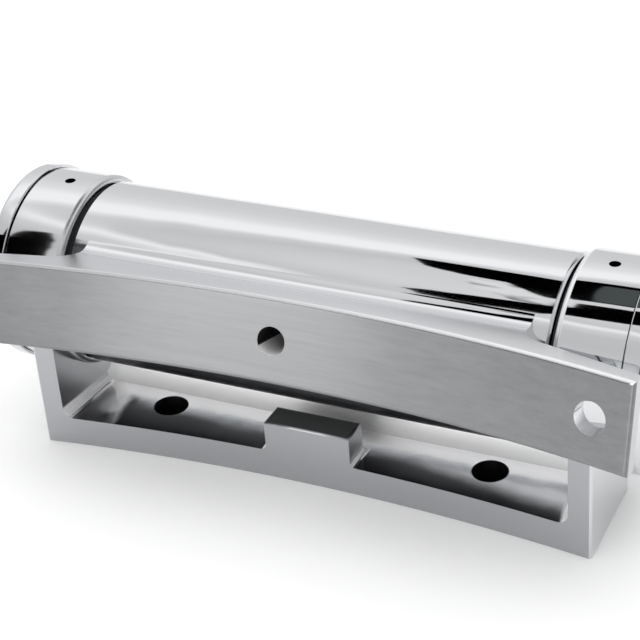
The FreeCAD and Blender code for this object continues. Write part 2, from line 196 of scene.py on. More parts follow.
# %% A finish
class Finish(Nodes):
    """A material under construction."""

    def __init__(self, name, **constants):
        self.material = bpy.data.materials.new(name)
        self.material.use_nodes = True
        self.tree = self.material.node_tree
        self.shader = self.tree.nodes["Principled BSDF"]
        for label, value in constants.items():
            self.shader.inputs[label.replace("_", " ")].default_value = value

    def place(self, stretch=(1, 1, 1)):
        """Object coordinates, stretched."""
        where = self.node("ShaderNodeTexCoord", {}, {}, "Object")
        return self.node("ShaderNodeMapping", {}, {"Vector": where, "Scale": stretch})

    def noise(self, scale, detail=2.0, stretch=(1, 1, 1), roughness=0.5):
        values = {"Vector": self.place(stretch), "Scale": scale,
                  "Detail": detail, "Roughness": roughness}
        return self.node("ShaderNodeTexNoise", {}, values, "Fac")

    def drive(self, label, wire):
        self.tree.links.new(wire.socket, self.shader.inputs[label])

    def bump(self, height, strength, depth):
        values = {"Height": height, "Strength": strength, "Distance": depth}
        self.drive("Normal", self.node("ShaderNodeBump", {}, values))


# %% [markdown]
# ## Chrome
#
# Chrome plate over a polished casting is a nearly perfect mirror, a touch
# blue. A plain metal shader would look computed, and two things keep it
# from that: hand polishing leaves the casting very slightly wavy, over
# centimetres, so long reflections bend, and the plate is never equally
# sharp all over.

# %% Mirror chrome
CHROME_TINT = (0.68, 0.69, 0.705, 1)
chrome = Finish("polished_chrome", Metallic=1.0, Base_Color=CHROME_TINT)
chrome.drive("Roughness", chrome.noise(60, 3) * 0.05 + 0.015)
chrome.bump(chrome.noise(34, 1.0), 0.35, 0.6 * MM)
print("made", chrome.material.name)

# %% [markdown]
# ## The belt-ground face
#
# The hollow front of the leaf is ground with a belt that runs lengthways,
# which leaves fine scratches along X. A noise stretched fifty times that
# way gives them, once fine and once coarser, both as a change of grey and
# as a fine relief. A little left of the middle the face is painted brighter,
# a painted sheen for the light that the hollow front reflects there.

# %% Brushed steel face
brushed = Finish("brushed_face", Metallic=1.0)
grain = brushed.noise(900, 3, (0.02, 1, 1), 0.7)
broad = brushed.noise(12, 2, (0.4, 1, 1))
# Painted sheen: the face is painted brighter a little left of the middle, for the light the
# hollow front reflects there.
from_sheen = brushed.part(brushed.place(), "X") + 12 * MM
painted_sheen = 1.0 - brushed.fade(from_sheen * from_sheen, 0.0003, 0.0028)
streaks = brushed.noise(420, 2, (0.02, 1, 1), 0.6)
brightness = grain * 0.4 + streaks * 0.35 + broad * 0.15 + painted_sheen * 0.28
brushed.drive("Base Color", brushed.blend(brightness, (0.17, 0.173, 0.176, 1),
                                          (0.335, 0.339, 0.344, 1)))
brushed.drive("Roughness", grain * 0.1 + 0.3)
brushed.bump(grain, 0.25, 0.05 * MM)
print("made", brushed.material.name)

# %% [markdown]
# ## The satin front of the foot
#
# The foot's front was only ground flat before plating, so it is a soft
# mirror: it shows where the light comes from, but no picture of it. A
# rougher and darker chrome with a faint lengthways grain is all it needs.

# %% Satin chrome
satin = Finish("satin_chrome", Metallic=1.0, Base_Color=(0.435, 0.44, 0.455, 1))
satin.drive("Roughness", satin.noise(500, 2, (0.05, 1, 1)) * 0.08 + 0.26)
satin.bump(satin.noise(40, 1), 0.2, 0.3 * MM)
print("made", satin.material.name)

# %% [markdown]
# ## Where the wheel can't reach
#
# A polishing wheel is round and large, so the pocket in the foot stays a
# softer mirror, its walls stay as the shot blasting left them, and the top
# of the block between the pockets is duller still, and painted dark grey as
# a painted shade for the shade under the leaf. The plate's upper side, the
# knuckles' inner rims and the posts' inner faces are buffed by hand. One
# finish serves all three, and it is painted brighter toward the right, a
# painted light for how the light falls along the hinge.

# %% Softer chrome
pocket_chrome = Finish("pocket_chrome", Metallic=1.0, Base_Color=(0.87, 0.87, 0.88, 1))
pocket_chrome.drive("Roughness", pocket_chrome.noise(90, 3) * 0.08 + 0.1)
pocket_chrome.bump(pocket_chrome.noise(60, 2), 0.3, 0.6 * MM)

blasted = Finish("blasted_wall", Metallic=0.1, Base_Color=(0.97, 0.97, 0.97, 1))
blasted.drive("Roughness", blasted.noise(120, 2, (1, 1, 0.3)) * 0.1 + 0.36)

# The block top is dull, and its dark grey is partly painted shade for the shade under the leaf.
dull_shaded = Finish("dull_shaded_block_top", Metallic=0.5, Base_Color=(0.2, 0.202, 0.206, 1))
dull_shaded.drive("Roughness", dull_shaded.noise(150, 2) * 0.1 + 0.28)

edge_chrome = Finish("hand_broken_edge", Metallic=1.0)
# Painted light: the base colour brightens from left to right, for how the light falls along the
# hinge.
rightward_painted_light = edge_chrome.node("ShaderNodeMapRange", {},
                          {"Value": edge_chrome.part(edge_chrome.place(), "X"),
                           "From Min": -80 * MM, "From Max": 70 * MM})
edge_chrome.drive("Base Color", edge_chrome.blend(rightward_painted_light, (0.62, 0.625, 0.64, 1),
                                                  (0.9, 0.905, 0.92, 1)))
edge_chrome.drive("Roughness", edge_chrome.noise(200, 2, (0.1, 1, 1)) * 0.08 + 0.26)
print("made", [f.material.name for f in (pocket_chrome, blasted, dull_shaded, edge_chrome)])

# %% [markdown]
# ## Painted shade under the barrel
#
# The quarter of the barrel that hides below the neck is painted dark and
# made rougher: a painted shade and dark reflection for the shaded space
# under the leaf, which the real chrome mirrors there. A hard border would
# look like a band, so the painted shade fades out round the barrel. Its mask
# is how far the surface lies from the axis, measured toward the middle of
# the hidden quarter, roughened by a noise, and it grows narrower toward the
# right.

# %% Painted shade on the hidden quarter
SHADE_WAY = (0, -0.559, -0.829)
shade_border, shade_core = 22.6 * MM, 25.4 * MM

under_barrel_shade = Finish("under_barrel_shade", Metallic=1.0)
from_axis = under_barrel_shade.vector("SUBTRACT", under_barrel_shade.place(), AXIS)
to_middle = under_barrel_shade.vector("DOT_PRODUCT", from_axis, SHADE_WAY, output="Value")
uneven = under_barrel_shade.noise(90, 3, (0.5, 1, 1)) * (1.2 * MM)
to_right = under_barrel_shade.part(under_barrel_shade.place(), "X") - 20 * MM
taper = under_barrel_shade.node("ShaderNodeMath", {"operation": "MAXIMUM"}, {0: to_right, 1: 0.0}) * 0.06
# Mask of the painted shade: 0 outside, 1 in the middle of the hidden quarter.
shade_mask = under_barrel_shade.fade(to_middle + uneven - taper, shade_border, shade_core)
under_barrel_shade.drive("Base Color", under_barrel_shade.blend(shade_mask, CHROME_TINT, (0.06, 0.061, 0.065, 1)))
under_barrel_shade.drive("Roughness", shade_mask * 0.25 + under_barrel_shade.noise(400, 3) * shade_mask * 0.1 + 0.03)
under_barrel_shade.bump(under_barrel_shade.noise(500, 2) * shade_mask, 0.3, 0.1 * MM)
print("made", under_barrel_shade.material.name)

# %% [markdown]
# ## Bores and turned faces
#
# The bolt holes and the middle hole are painted dark, a painted shade for
# the dark inside a hole, and faintly scored from top to bottom. The caps'
# flat ends are faced on the lathe, and the cutter leaves circles about the
# axis.
# A picture of rings would need a map laid on each cap. A noise that reads
# only the distance from the axis draws them without one.

# %% Bores painted dark, and faced steel
shaded_bore = Finish("bore_painted_shade", Metallic=1.0, Base_Color=(0.09, 0.09, 0.095, 1))
shaded_bore.drive("Roughness", shaded_bore.noise(700, 2, (1, 1, 0.1)) * 0.2 + 0.35)

faced = Finish("faced_end", Metallic=1.0)
across = faced.vector("SUBTRACT", faced.place((0, 1, 1)), AXIS)
from_centre = faced.vector("LENGTH", across, output="Value")
ring_place = faced.node("ShaderNodeCombineXYZ", {}, {0: from_centre})
rings = faced.node("ShaderNodeTexNoise", {},
                   {"Vector": ring_place, "Scale": 2500, "Detail": 2}, "Fac")
faced.drive("Base Color", faced.blend(rings, (0.36, 0.365, 0.375, 1), (0.56, 0.565, 0.575, 1)))
faced.drive("Roughness", rings * 0.15 + 0.22)
faced.bump(rings, 0.3, 0.08 * MM)
print("made", [f.material.name for f in (shaded_bore, faced)])

# %% [markdown]
# ## The finishes inside
#
# The plugs, the shaft and the screws are bright turned steel, the springs
# are dark strip, the spacers and washers are black acetal, and the bushes
# are sintered bronze, whose pores show as darker specks. They are seen only
# through gaps and holes, so each needs one or two lines.

# %% Inner finishes
turned = Finish("turned_steel", Metallic=1.0, Base_Color=(0.5, 0.51, 0.53, 1))
turned.drive("Roughness", turned.noise(1500, 2, (1, 0.05, 0.05)) * 0.15 + 0.2)

strip_steel = Finish("spring_strip_steel", Metallic=1.0, Base_Color=(0.12, 0.12, 0.14, 1))
strip_steel.drive("Roughness", strip_steel.noise(300, 3) * 0.2 + 0.3)

acetal = Finish("black_acetal", Base_Color=(0.02, 0.02, 0.022, 1), Specular_IOR_Level=0.15)
acetal.drive("Roughness", acetal.noise(400, 2) * 0.15 + 0.4)

bronze = Finish("sintered_bronze", Metallic=1.0)
pores = bronze.noise(2500, 2)
bronze.drive("Base Color", bronze.blend(pores, (0.3, 0.19, 0.09, 1), (0.62, 0.42, 0.22, 1)))
bronze.drive("Roughness", pores * 0.2 + 0.35)
print("made", [f.material.name for f in (turned, strip_steel, acetal, bronze)])

# %% [markdown]
# ## Smooth shading that stays flat on flats
#
# Chrome shows every error of shading. Smooth shading alone bends the light
# on a flat face near its rounded edge, and flat shading cuts a curve into
# strips. So all faces are smoothed, edges past a given angle stay sharp,
# and the normals are weighted by face area: a flat face then stays truly
# flat, while the narrow strips beside it do the turning.


# %% Shade, round and merge
def mark_smooth(work, sharp):
    """Smooth all faces and keep the edges sharp that turn more than an angle."""
    for face in work.faces:
        face.smooth = True
    for edge in work.edges:
        edge.smooth = edge.calc_face_angle(math.pi) < math.radians(sharp)


def even_normals(piece):
    """Weight a piece's normals by face area."""
    even = piece.modifiers.new("even_normals", "WEIGHTED_NORMAL")
    even.keep_sharp = True
    even.weight = 100


def smooth_shade(piece, sharp=30):
    work = bmesh.new()
    work.from_mesh(piece.data)
    mark_smooth(work, sharp)
    work.to_mesh(piece.data)
    work.free()
    even_normals(piece)


def soften(work, edges, width, segments):
    """Round edges by an even width."""
    bmesh.ops.bevel(work, geom=edges, offset=width, offset_type="OFFSET", affect="EDGES",
                    segments=segments, profile=0.5, material=-1, clamp_overlap=True)


def merge(work, gap=0.002):
    bmesh.ops.remove_doubles(work, verts=work.verts, dist=gap)


# %% [markdown]
# Some pieces carry several finishes. A rule looks at one face, where it
# lies and which way it faces, and names its finish. That is easier to read,
# and to correct, than a list of face numbers.


# %% Fill a piece's slots
def slot_in(piece, finishes):
    """Replace a piece's material slots."""
    piece.data.materials.clear()
    for finish in finishes:
        piece.data.materials.append(finish.material)


def dress(piece, finishes, rule):
    """Fill the slots and give each face the finish that a rule names."""
    slot_in(piece, finishes)
    counts = dict.fromkeys((finish.material.name for finish in finishes), 0)
    for face in piece.data.polygons:
        finish = rule(face)
        face.material_index = finishes.index(finish)
        counts[finish.material.name] += 1
    print(piece.name, "faces:", counts)


# %% [markdown]
# ## The leaf, from its outlines
#
# The leaf is the showpiece: a barrel, a neck that flows into it with two
# fillets, and a long plate with a hollow front and coved ears. The CAD copy
# has the right shape, but its rounded front edge comes as long slivers, and
# a mirror makes every sliver flash. So the leaf is modelled afresh on the
# CAD's own numbers, with even strips. It is built closed, in millimetres
# about the hinge axis, and turned open at the end.

# %% Sizes of the leaf, as in the CAD
OPEN = math.radians(16.4)
to_world = Matrix.Translation(AXIS) @ Matrix.Rotation(-OPEN, 4, "X")
barrel_radius, barrel_end, barrel_bore, barrel_chamfer = 28.1, 74.8, 20.0, 0.8
bush_length_in, partition_bore = 6, 9
web_half, web_front, plate_half, half_height = 69.5, 29.215, 107.0, 12.5
plate_reach, plate_curve, plate_rounding, cast_rounding = 40.4, 327.0, 1.2, 0.25
web_fillet, cove_radius = 6.5, 10.026
ear_slope, ear_tail = 23.3, 51.965
ear_hole_x, ear_hole_radius, middle_hole_radius = 95.4, 4.5, 4.2
print("barrel", 2 * barrel_radius, "x", 2 * barrel_end, "mm, plate", 2 * plate_half, "mm")


# %% Draw arcs and join them into an outline
def arc(work, start, centre, degrees, steps, axis):
    """Spin one vertex about a centre and return the new run of vertices."""
    first = work.verts.new(start)
    spun = bmesh.ops.spin(work, geom=[first], cent=centre, axis=axis, dvec=(0, 0, 0),
                          angle=math.radians(degrees), steps=steps, use_merge=False)
    last = [item for item in spun["geom_last"] if isinstance(item, bmesh.types.BMVert)][0]
    run, here = [first], first
    while here is not last:
        ahead = [edge.other_vert(here) for edge in here.link_edges]
        here = [vert for vert in ahead if vert not in run][0]
        run.append(here)
    return run


def face_over(work, *runs):
    """Fill one face over runs of vertices, in order."""
    return work.faces.new([vert for run in runs for vert in run])


def extrude_all(work, shift):
    """Extrude every face by one shift and turn the normals outwards."""
    made = bmesh.ops.extrude_face_region(work, geom=work.faces[:])
    moved = [item for item in made["geom"] if isinstance(item, bmesh.types.BMVert)]
    bmesh.ops.translate(work, vec=shift, verts=moved)
    bmesh.ops.recalc_face_normals(work, faces=work.faces)


# %% [markdown]
# The barrel with its neck has one section all the way: most of a circle,
# two tangent fillets and a short straight neck. A cylinder joined to a box
# by a Boolean would leave the fillets to be guessed. So the section is
# drawn once, lying across the axis, split along the hidden part of the
# circle, and extruded.

# %% Extrude the barrel and its neck
circle_steps, hidden_steps, fillet_steps = 150, 34, 14
seam_height = half_height + web_fillet
seam_back = math.sqrt((barrel_radius + web_fillet) ** 2 - seam_height ** 2)
touch = barrel_radius / (barrel_radius + web_fillet)
seam_angle = math.degrees(math.atan2(seam_height, seam_back))
sweep = 90 - seam_angle

leaf_work = bmesh.new()
upper = arc(leaf_work, (-web_half, -seam_back * touch, seam_height * touch), (0, 0, 0),
            360 - 2 * seam_angle, circle_steps, (-1, 0, 0))
inner = arc(leaf_work, upper[-1].co, (0, 0, 0), 2 * seam_angle, hidden_steps, (-1, 0, 0))
low = arc(leaf_work, upper[-1].co, (0, -seam_back, -seam_height), sweep, fillet_steps,
          (1, 0, 0))
high = arc(leaf_work, (-web_half, -seam_back, half_height), (0, -seam_back, seam_height),
           sweep, fillet_steps, (1, 0, 0))
corners = [leaf_work.verts.new((-web_half, -web_front, z)) for z in (-half_height, half_height)]
face_over(leaf_work, upper, inner[1:-1])
face_over(leaf_work, low, corners, high[:-1], [upper[0]], reversed(inner[1:-1]))
merge(leaf_work)
extrude_all(leaf_work, (2 * web_half, 0, 0))
print("barrel and neck:", len(leaf_work.faces), "faces")

# %% [markdown]
# The circle's part then goes on past the neck to the barrel's ends, where
# it is chamfered, and is sunk into the bore that holds the bush. The two
# bores are joined by a narrower one through the partition in the middle.


# %% Lengthen the barrel and sink its bores
def step_out(work, face, shift, scale):
    """Extrude an end face along the axis and scale it about the axis."""
    made = bmesh.ops.extrude_discrete_faces(work, faces=[face])
    end = made["faces"][0]
    bmesh.ops.scale(work, vec=(1, scale, scale), verts=end.verts)
    bmesh.ops.translate(work, vec=(shift, 0, 0), verts=end.verts)
    return end


def end_circle(work, side):
    """Find the barrel's end face, which lies behind the neck's."""
    ends = [face for face in work.faces
            if abs(face.calc_center_median().x - side * web_half) < 0.1]
    return max(ends, key=lambda face: face.calc_center_median().y)


rims = []
for side in (-1, 1):
    face = end_circle(leaf_work, side)
    face = step_out(leaf_work, face, side * (barrel_end - barrel_chamfer - web_half), 1)
    face = step_out(leaf_work, face, side * barrel_chamfer, 1 - barrel_chamfer / barrel_radius)
    face = step_out(leaf_work, face, 0, barrel_bore / (barrel_radius - barrel_chamfer))
    face = step_out(leaf_work, face, -side * (barrel_end - bush_length_in), 1)
    face = step_out(leaf_work, face, 0, partition_bore / barrel_bore)
    rims += face.edges[:]
    leaf_work.faces.remove(face)
bmesh.ops.bridge_loops(leaf_work, edges=rims)
print("with bores:", len(leaf_work.faces), "faces")

# %% [markdown]
# The plate is drawn from above: a hollow arc in front, slanted backs and a
# cove on each side of the neck. It is extruded to its height, and its front
# edges are rounded with five even strips, narrow enough to catch the light
# as one line.

# %% Extrude the plate
bow_steps, cove_steps, rounding_steps = 96, 24, 5
bottom = -half_height
bow_centre = (0, -plate_reach - plate_curve, 0)
bow = math.degrees(math.asin(plate_half / plate_curve))
tip = plate_reach + plate_curve - plate_curve * math.cos(math.radians(bow))
cove_turn = 90 - ear_slope
cove_centre_x = web_half + cove_radius

plate_work = bmesh.new()
front_run = arc(plate_work, (-plate_half, -tip, bottom), bow_centre, 2 * bow, bow_steps,
                (0, 0, -1))
ear_right = [plate_work.verts.new((plate_half, -ear_tail, bottom))]
right_cove = arc(plate_work, (web_half, -web_front, bottom), (cove_centre_x, -web_front, 0),
                 cove_turn, cove_steps, (0, 0, 1))
left_cove = arc(plate_work, (-web_half, -web_front, bottom), (-cove_centre_x, -web_front, 0),
                cove_turn, cove_steps, (0, 0, -1))
ear_left = [plate_work.verts.new((-plate_half, -ear_tail, bottom))]
face_over(plate_work, front_run, ear_right, reversed(right_cove), left_cove, ear_left)
merge(plate_work)
extrude_all(plate_work, (0, 0, 2 * half_height))


# %% Round the plate's front
TOUCH = 0.01


def on_front(vert):
    x, y = vert.co.x, vert.co.y
    return abs(math.hypot(x, y - bow_centre[1]) - plate_curve) < TOUCH


def on_rim(edge):
    """Tell whether an edge runs round the hollow front."""
    first, second = edge.verts
    lies_level = abs(first.co.z - second.co.z) < TOUCH
    return (on_front(first) and on_front(second)
            and (lies_level or abs(first.co.x) > plate_half - TOUCH))


rim = [edge for edge in plate_work.edges if on_rim(edge)]
soften(plate_work, rim, plate_rounding, rounding_steps)
print("plate:", len(plate_work.faces), "faces,", len(rim), "edges rounded")

# %% [markdown]
# The neck's front face and the plate's back face are the same rectangle. A
# Boolean union would work too, but it leaves stray slivers where faces
# coincide. So both faces are removed and the two shells are welded there.


# %% Weld the plate to the neck
def drop_shared(work):
    """Remove the face that both shells have in common."""
    shared = [face for face in work.faces if len(face.verts) >= 4
              and all(abs(vert.co.y + web_front) < TOUCH for vert in face.verts)]
    bmesh.ops.delete(work, geom=shared, context="FACES_ONLY")
    return len(shared)


print("shared faces removed:", drop_shared(leaf_work), drop_shared(plate_work))
plate_mesh = bpy.data.meshes.new("plate_part")
plate_work.to_mesh(plate_mesh)
plate_work.free()
leaf_work.from_mesh(plate_mesh)
merge(leaf_work)
open_edges = sum(1 for edge in leaf_work.edges if len(edge.link_faces) != 2)
print("leaf:", len(leaf_work.faces), "faces, open edges:", open_edges)

# %% [markdown]
# Castings have no knife edges, and on chrome the small round edge is what
# catches the light. So every sharp outer edge gets a quarter of a
# millimetre. The edges inside the barrel are turned, and stay crisp.


# %% Round the cast edges
def sharp_edges(edges, degrees=40):
    return [edge for edge in edges if edge.calc_face_angle(0) > math.radians(degrees)]


def is_outer(edge):
    return all(math.hypot(vert.co.y, vert.co.z) > barrel_radius - 1 for vert in edge.verts)


bmesh.ops.recalc_face_normals(leaf_work, faces=leaf_work.faces)
cast_edges = [edge for edge in sharp_edges(leaf_work.edges) if is_outer(edge)]
soften(leaf_work, cast_edges, cast_rounding, 2)
print("rounded", len(cast_edges), "edges, now", len(leaf_work.faces), "faces")

# %% [markdown]
# The holes are drilled last, as in the workshop: three cylinders in front,
# and two slim blocks that broach the keyways for the springs' outer ends.
# Holes could be built into the faces instead, but that would disturb the
# even strips of the hollow front. So one Boolean cut takes them all, and
# the leaf is then turned open.


# %% Turn a bmesh into an object
def to_object(work, name, place=Matrix()):
    """Turn a bmesh in millimetres into a linked object in metres."""
    bmesh.ops.transform(work, matrix=Matrix.Scale(MM, 4), verts=work.verts)
    mesh = bpy.data.meshes.new(name)
    work.to_mesh(mesh)
    work.free()
    mesh.transform(place)
    return add_object(name, mesh)


def add_drill(work, x, y_from, y_to, radius):
    """Add a cylinder along Y."""
    place = Matrix.Translation((x, (y_from + y_to) / 2, 0)) @ Matrix.Rotation(math.pi / 2, 4, "X")
    bmesh.ops.create_cone(work, cap_ends=True, segments=72, radius1=radius, radius2=radius,
                          depth=abs(y_to - y_from), matrix=place)


def add_block(work, centre, size):
    place = Matrix.Translation(centre) @ Matrix.Diagonal((*size, 1))
    bmesh.ops.create_cube(work, size=1, matrix=place)


def cut(piece, cutter):
    """Subtract one object from another and delete the cutter."""
    step = piece.modifiers.new("cut", "BOOLEAN")
    step.operation, step.solver, step.object = "DIFFERENCE", "EXACT", cutter
    graph = bpy.context.evaluated_depsgraph_get()
    result = bpy.data.meshes.new_from_object(piece.evaluated_get(graph))
    piece.modifiers.clear()
    piece.data = result
    bpy.data.objects.remove(cutter)


# %% Drill the plate and broach the keyways
middle_drilled, ear_drilled = (-70, -26.4), (-75, -34.25)
keyway_x, keyway_y, keyway_z = 41.5, 20.85, 0.8
keyway_size = (71, 3.7, 1.8)
drills = bmesh.new()
add_drill(drills, 0, *middle_drilled, middle_hole_radius)
for side in (-1, 1):
    add_drill(drills, side * ear_hole_x, *ear_drilled, ear_hole_radius)
    add_block(drills, (side * keyway_x, keyway_y, keyway_z), keyway_size)
leaf = to_object(leaf_work, "polished_leaf")
cut(leaf, to_object(drills, "drills"))
leaf.data.transform(to_world)
smooth_shade(leaf)
print("drilled leaf:", len(leaf.data.polygons), "faces")

# %% [markdown]
# The leaf's faces are told apart by three measures: how far they lie out
# along the leaf, how high above its middle, and how far from its centre.
# The ear holes are bright from the reamer. The middle hole is painted dark
# above, a painted shade, and painted bright below, a painted highlight.
# The plate's ends are milled.

# %% Dress the leaf
leaf_out = Vector((0, -math.cos(OPEN), math.sin(OPEN)))
leaf_up = Vector((0, math.sin(OPEN), math.cos(OPEN)))
plate_back, plate_front, hole_floor = 29.3, 38.0, 26.0
shade_end, shade_top, lit_below = 74.0, -9.0, -1.8


def hole_finish(across, rise):
    """Choose the finish of a drilled wall."""
    if across > ear_hole_x / 2:
        return turned
    # Middle hole: painted shade above lit_below, a painted highlight below it.
    return shaded_bore if rise > lit_below else blasted


def leaf_finish(face):
    """Choose a face's finish by its place on the leaf and its facing."""
    arm = (face.center - AXIS) / MM
    depth, rise, across = arm.dot(leaf_out), arm.dot(leaf_up), abs(arm.x)
    forward, upward = face.normal.dot(leaf_out), face.normal.dot(leaf_up)
    to_hole = min(math.hypot(across - spot, rise) for spot in (0, ear_hole_x))
    if forward > 0.9 and depth > plate_front:
        return brushed
    if to_hole < ear_hole_radius + 0.1 and hole_floor < depth < plate_reach - 0.1:
        return hole_finish(across, rise)
    if depth > plate_back and upward > 0.02 and across < plate_half - 0.1:
        return edge_chrome
    if depth > plate_front and forward > 0.1:
        return brushed
    if abs(face.normal.x) > 0.95 and across > plate_half - 1:
        return turned
    # The painted shade under the barrel.
    if (across < shade_end and rise < shade_top and depth < plate_back
            and face.normal.y < 0.15 and face.normal.z < -0.15):
        return under_barrel_shade
    return chrome


dress(leaf, [chrome, brushed, turned, edge_chrome, under_barrel_shade, shaded_bore, blasted], leaf_finish)
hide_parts("lid_leaf")
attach(leaf, "leaf")

# %% [markdown]
# ## The foot
#
# The foot is one casting with its posts and knuckles. Its CAD mesh is even
# enough, but arrives as loose triangles, each with its own flat shade. So a
# copy is welded, and its flat areas are joined into single faces. The block
# between the pockets has a soft rim, which the CAD mesh leaves sharp to
# save facets, so it is rounded on the copy.

# %% Weld a copy of the foot
foot_work = bmesh.new()
foot_work.from_mesh(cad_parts["base_casting"].data)
merge(foot_work, 0.002 * MM)
bmesh.ops.dissolve_limit(foot_work, angle_limit=math.radians(0.05),
                         verts=foot_work.verts, edges=foot_work.edges)
mark_smooth(foot_work, 35)


# %% Round the block's rim
def is_block_top(face):
    x, y, z = face.calc_center_median() / MM
    return face.normal.z > 0.99 and abs(x) < 1 and y < 0 and z > 19


block_top = next(face for face in foot_work.faces if is_block_top(face))
block_rim, block_rounding = sharp_edges(block_top.edges), 0.6 * MM
soften(foot_work, block_rim, block_rounding, 3)
foot_mesh = bpy.data.meshes.new("polished_base")
foot_work.to_mesh(foot_mesh)
foot_work.free()
foot = add_object("polished_base", foot_mesh)
even_normals(foot)
print("foot:", len(foot_mesh.polygons), "faces, block edges rounded:", len(block_rim))

# %% [markdown]
# The foot carries the most finishes: mirror chrome, the satin front, bolt
# holes painted dark as a painted shade, softened rims on the knuckles and
# posts, and in the pockets a soft mirror floor, blasted walls and the dull
# top of the block, whose dark grey is partly painted shade.

# %% Dress the foot
bolt_x, bolt_radius, pocket_floor, pocket_top = 53.0, 5.5, 9.0, 19.6
pocket_end, pocket_back, block_half = 82.5, 12.6, 14.0
knuckle_in, knuckle_radius, post_in = 76.2, 29.75, 80.5


def pocket_finish(face, x, y, z):
    """Choose the finish of a face in the pockets or on the block."""
    on_block = abs(x) < block_half and z > pocket_floor + 0.6
    is_wall = face.normal.y < -0.12 or abs(face.normal.x) > 0.5
    # Block top: dull finish whose dark grey is partly painted shade.
    if on_block and face.normal.z > 0.99:
        return dull_shaded
    if on_block and y < 0:
        return satin
    return blasted if is_wall and y > -12 else pocket_chrome


def foot_finish(face):
    """Choose a face's finish by its place on the foot and its facing."""
    x, y, z = (value / MM for value in face.center)
    across, sideways = abs(x), abs(face.normal.x)
    from_bolt = math.hypot(across - bolt_x, y)
    # Bolt holes: walls painted dark, a painted shade.
    if from_bolt < bolt_radius + 0.1 and z < pocket_floor + 0.3 and abs(face.normal.z) < 0.5:
        return shaded_bore
    if face.normal.y < -0.95 and y < -11 and z < AXIS_MM.z - 2:
        return satin
    if (knuckle_in - 1.2 < across < knuckle_in + 2 and z > 20 and sideways > 0.2
            and math.hypot(y - AXIS_MM.y, z - AXIS_MM.z) > knuckle_radius - 2.25):
        return edge_chrome
    if abs(across - post_in) < 0.5 and sideways > 0.9:
        return edge_chrome
    if across < pocket_end and pocket_floor < z < pocket_top and y < pocket_back:
        return pocket_finish(face, x, y, z)
    return chrome


dress(foot, [chrome, satin, pocket_chrome, shaded_bore, edge_chrome, blasted, dull_shaded], foot_finish)
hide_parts("base_casting")
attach(foot, "base")

# %% [markdown]
# ## The end caps
#
# A cap is a turned disc with a countersunk hole. A cylinder with its rims
# bevelled would do, but spinning puts every step where the drawing has it.
# So the section of the ring is drawn once, as a closed run of edges with a
# rounded rim of eight even steps, and is spun about the axis. The flat end
# gets the lathe's circles, and all the rest is chrome.


# %% Spin an outline
def spun(points, name, steps=144):
    """Spin stations and radii about the hinge axis into a closed ring."""
    work = bmesh.new()
    verts = [work.verts.new((x, radius, 0)) for x, radius in points]
    edges = [work.edges.new((vert, verts[index - 1])) for index, vert in enumerate(verts)]
    bmesh.ops.spin(work, geom=verts + edges, cent=(0, 0, 0), axis=(1, 0, 0),
                   dvec=(0, 0, 0), angle=2 * math.pi, steps=steps, use_merge=True)
    merge(work)
    bmesh.ops.recalc_face_normals(work, faces=work.faces)
    return to_object(work, name, Matrix.Translation(AXIS))


def round_rim(x, radius, size, steps):
    """Points of a quarter turn on an outer rim, from the flat to the side."""
    turns = [math.pi / 2 * step / steps for step in range(steps + 1)]
    return [(x - size + size * math.cos(turn), radius - size + size * math.sin(turn))
            for turn in turns]


# %% Spin the caps
cap_face, cap_seat, spigot_end = 102.1, 96.0, 95.6
cap_radius, spigot_radius, screw_radius, countersink = 30.6, 26.0, 3.2, 3.1
outer_rim = round_rim(cap_face, cap_radius, 2.4, 8)
inner_rim = [(2 * cap_seat - x, radius)
             for x, radius in reversed(round_rim(cap_seat, cap_radius, 0.3, 3))]
section = [(cap_face - countersink, screw_radius), (cap_face, screw_radius + countersink),
           *outer_rim, *inner_rim, (cap_seat, spigot_radius), (spigot_end, spigot_radius),
           (spigot_end, screw_radius)]
for side, name in ((-1, "left"), (1, "right")):
    cap = spun([(side * x, radius) for x, radius in section], f"polished_cap_{name}")
    smooth_shade(cap)
    dress(cap, [chrome, faced], lambda face: faced if side * face.normal.x > 0.98 else chrome)
    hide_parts(f"end_cap_{name}")
    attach(cap, "base")

# %% [markdown]
# ## The pieces that keep their CAD shape
#
# The other sixteen pieces lie inside or show only a few millimetres. Their
# CAD meshes are good enough as they come, so only their slots are filled.

# %% Finish the kept pieces
kept = {"journal_plug": turned, "cap_screw": turned, "grub_screw": turned,
        "hinge_shaft": turned, "spiral_spring": strip_steel, "spring_spacer": acetal,
        "thrust_washer": acetal, "barrel_bush": bronze, "centre_bush": bronze}
finished = []
for name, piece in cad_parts.items():
    for start, finish in kept.items():
        if name.startswith(start):
            slot_in(piece, [finish])
            finished.append(name)
print("finished", len(finished), "kept pieces")

# %% [markdown]
# ## The studio
#
# The hinge stands on white paper inside a light tent, and the dark streaks
# in the chrome are the unlit parts of the room. Paper that glows a little
# stays white under the hinge. A black strip under the foot is a painted
# shadow: it keeps light from leaking through the bolt holes, so they show
# the shade under the foot.


# %% Lay the floor
def staged(work, name, finish):
    """Turn a bmesh in metres into a part of the studio."""
    mesh = bpy.data.meshes.new(name)
    work.to_mesh(mesh)
    work.free()
    card = add_object(name, mesh)
    mesh.materials.append(finish.material)
    return card


def lay_sheet(name, centre, size, finish):
    """Lay a flat sheet under the hinge."""
    work = bmesh.new()
    bmesh.ops.create_grid(work, x_segments=1, y_segments=1, size=0.5)
    bmesh.ops.scale(work, vec=(*size, 1), verts=work.verts)
    bmesh.ops.translate(work, vec=centre, verts=work.verts)
    staged(work, name, finish)


def dark_finish(name):
    """A finish that gives back no light at all."""
    return Finish(name, Base_Color=(0.0, 0.0, 0.0, 1), Roughness=1.0, Specular_IOR_Level=0.0)


